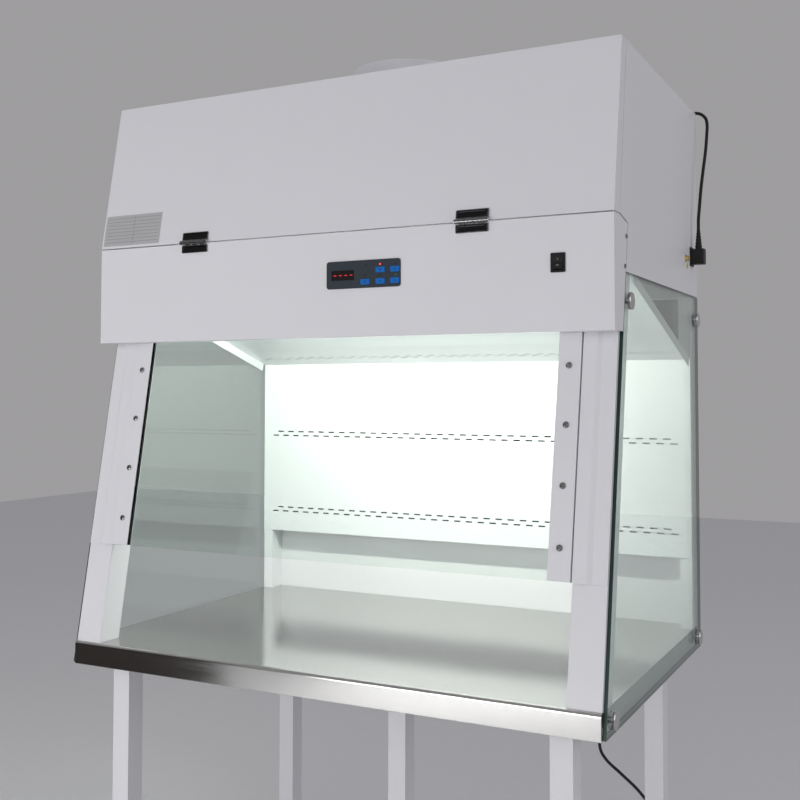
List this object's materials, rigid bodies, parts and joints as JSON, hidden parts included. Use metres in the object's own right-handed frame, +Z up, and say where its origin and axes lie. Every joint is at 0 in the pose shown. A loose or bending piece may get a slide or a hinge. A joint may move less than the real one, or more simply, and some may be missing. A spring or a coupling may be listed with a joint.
{
  "type": "biosafety cabinet",
  "caption": "Glass-sided biosafety cabinet on a tube stand, with a sliding front sash, hinged control flap, slotted rear baffle, exhaust filter, fan and collar.",
  "frame": {"origin": "on the floor, under the middle of the cabinet's width and depth without its lead", "axes": "+X to the cabinet's right as its user faces it from behind the front, -Y out of the front, +Z up"},
  "size_m": [1.0842, 0.8217, 1.817],
  "materials": {
    "painted_white": "smooth gloss powder coat",
    "stainless": "brushed stainless steel",
    "polished": "polished stainless steel",
    "hinge_metal": "dark plated",
    "black_plastic": "moulded",
    "lead_black": "smooth flexible sheath",
    "slate_panel": "satin overlay",
    "key_blue": "moulded",
    "led_lens": "clear tinted",
    "display_dark": "dark tinted lens",
    "circuit_board": "solder resist",
    "bare_aluminium": "extruded",
    "clear_glass": "toughened, ground edges",
    "filter_paper": "pleated glass-fibre paper",
    "lamp_glass": "opal tube",
    "earth_brass": "turned",
    "zinc_steel": "plated sheet"
  },
  "bodies": {
    "cabinet": {"left_leg_frame": "painted_white", "right_leg_frame": "painted_white", "centre_leg": "painted_white", "cross_rails": "painted_white", "leg_end_caps": "black_plastic", "work_table": "stainless", "front_posts": "painted_white", "post_covers": "painted_white", "guide_strips": "painted_white", "guide_rails": "bare_aluminium", "sash_channels": "black_plastic", "strip_screws": "polished", "left_side_glass": "clear_glass", "right_side_glass": "clear_glass", "glass_fixings": "polished", "rear_posts": "painted_white", "rear_wall": "painted_white", "rear_baffle": "painted_white", "sloped_ceiling": "painted_white", "left_side_panel": "painted_white", "right_side_panel": "painted_white", "top_panel": "painted_white", "back_panel": "painted_white", "upper_front_panel": "painted_white", "front_beam": "painted_white", "exhaust_collar": "painted_white", "filter_deck": "painted_white", "filter_frame": "bare_aluminium", "filter_pleats": "filter_paper", "fan_box": "zinc_steel", "motor_bracket": "zinc_steel", "fan_motor": "black_plastic", "plenum_front_wall": "painted_white", "lamp_tube": "lamp_glass", "lamp_holders": "painted_white", "upper_hinge_leaves": "hinge_metal", "hinge_pins": "polished", "power_inlet": "black_plastic", "earth_terminal": "earth_brass", "power_connector": "lead_black", "power_cord": "lead_black", "cord_coil": "lead_black", "mains_plug": "lead_black"},
    "flap": {"control_flap": "painted_white", "keypad_panel": "slate_panel", "display_module": "display_dark", "control_board": "circuit_board", "indicator_leds": "led_lens", "rocker_bezel": "black_plastic", "lower_hinge_leaves": "hinge_metal", "flap_screws": "polished"},
    "sash": {"front_sash": "clear_glass"},
    "rocker": {"rocker_paddle": "black_plastic"},
    "impeller": {"fan_impeller": "bare_aluminium"},
    "upper_left_key": {"key_upper_left": "key_blue"},
    "upper_right_key": {"key_upper_right": "key_blue"},
    "lower_left_key": {"key_lower_left": "key_blue"},
    "lower_middle_key": {"key_lower_middle": "key_blue"},
    "lower_right_key": {"key_lower_right": "key_blue"}
  },
  "joints": [
    {"name": "flap_hinge", "type": "hinge", "parent": "cabinet", "child": "flap", "pos_m": [0, -0.2701, 1.45], "axis": [-1, 0, 0], "range_deg": [0, 100]},
    {"name": "sash_slide", "type": "slide", "parent": "cabinet", "child": "sash", "axis": [0, 0.1736, 0.9848], "range_m": [0, 0.17]},
    {"name": "rocker_tilt", "type": "hinge", "parent": "flap", "child": "rocker", "pos_m": [0.4326, -0.2625, 1.3728], "axis": [1, 0, 0], "range_deg": [0, 12]},
    {"name": "impeller_spin", "type": "hinge", "parent": "cabinet", "child": "impeller", "pos_m": [0, 0.0525, 1.635], "axis": [0, 0, 1], "continuous": true},
    {"name": "upper_left_press", "type": "slide", "parent": "flap", "child": "upper_left_key", "axis": [0, 1, 0], "range_m": [0, 0.0006], "stiffness_N_per_m": 1500},
    {"name": "upper_right_press", "type": "slide", "parent": "flap", "child": "upper_right_key", "axis": [0, 1, 0], "range_m": [0, 0.0006], "stiffness_N_per_m": 1500},
    {"name": "lower_left_press", "type": "slide", "parent": "flap", "child": "lower_left_key", "axis": [0, 1, 0], "range_m": [0, 0.0006], "stiffness_N_per_m": 1500},
    {"name": "lower_middle_press", "type": "slide", "parent": "flap", "child": "lower_middle_key", "axis": [0, 1, 0], "range_m": [0, 0.0006], "stiffness_N_per_m": 1500},
    {"name": "lower_right_press", "type": "slide", "parent": "flap", "child": "lower_right_key", "axis": [0, 1, 0], "range_m": [0, 0.0006], "stiffness_N_per_m": 1500}
  ]
}
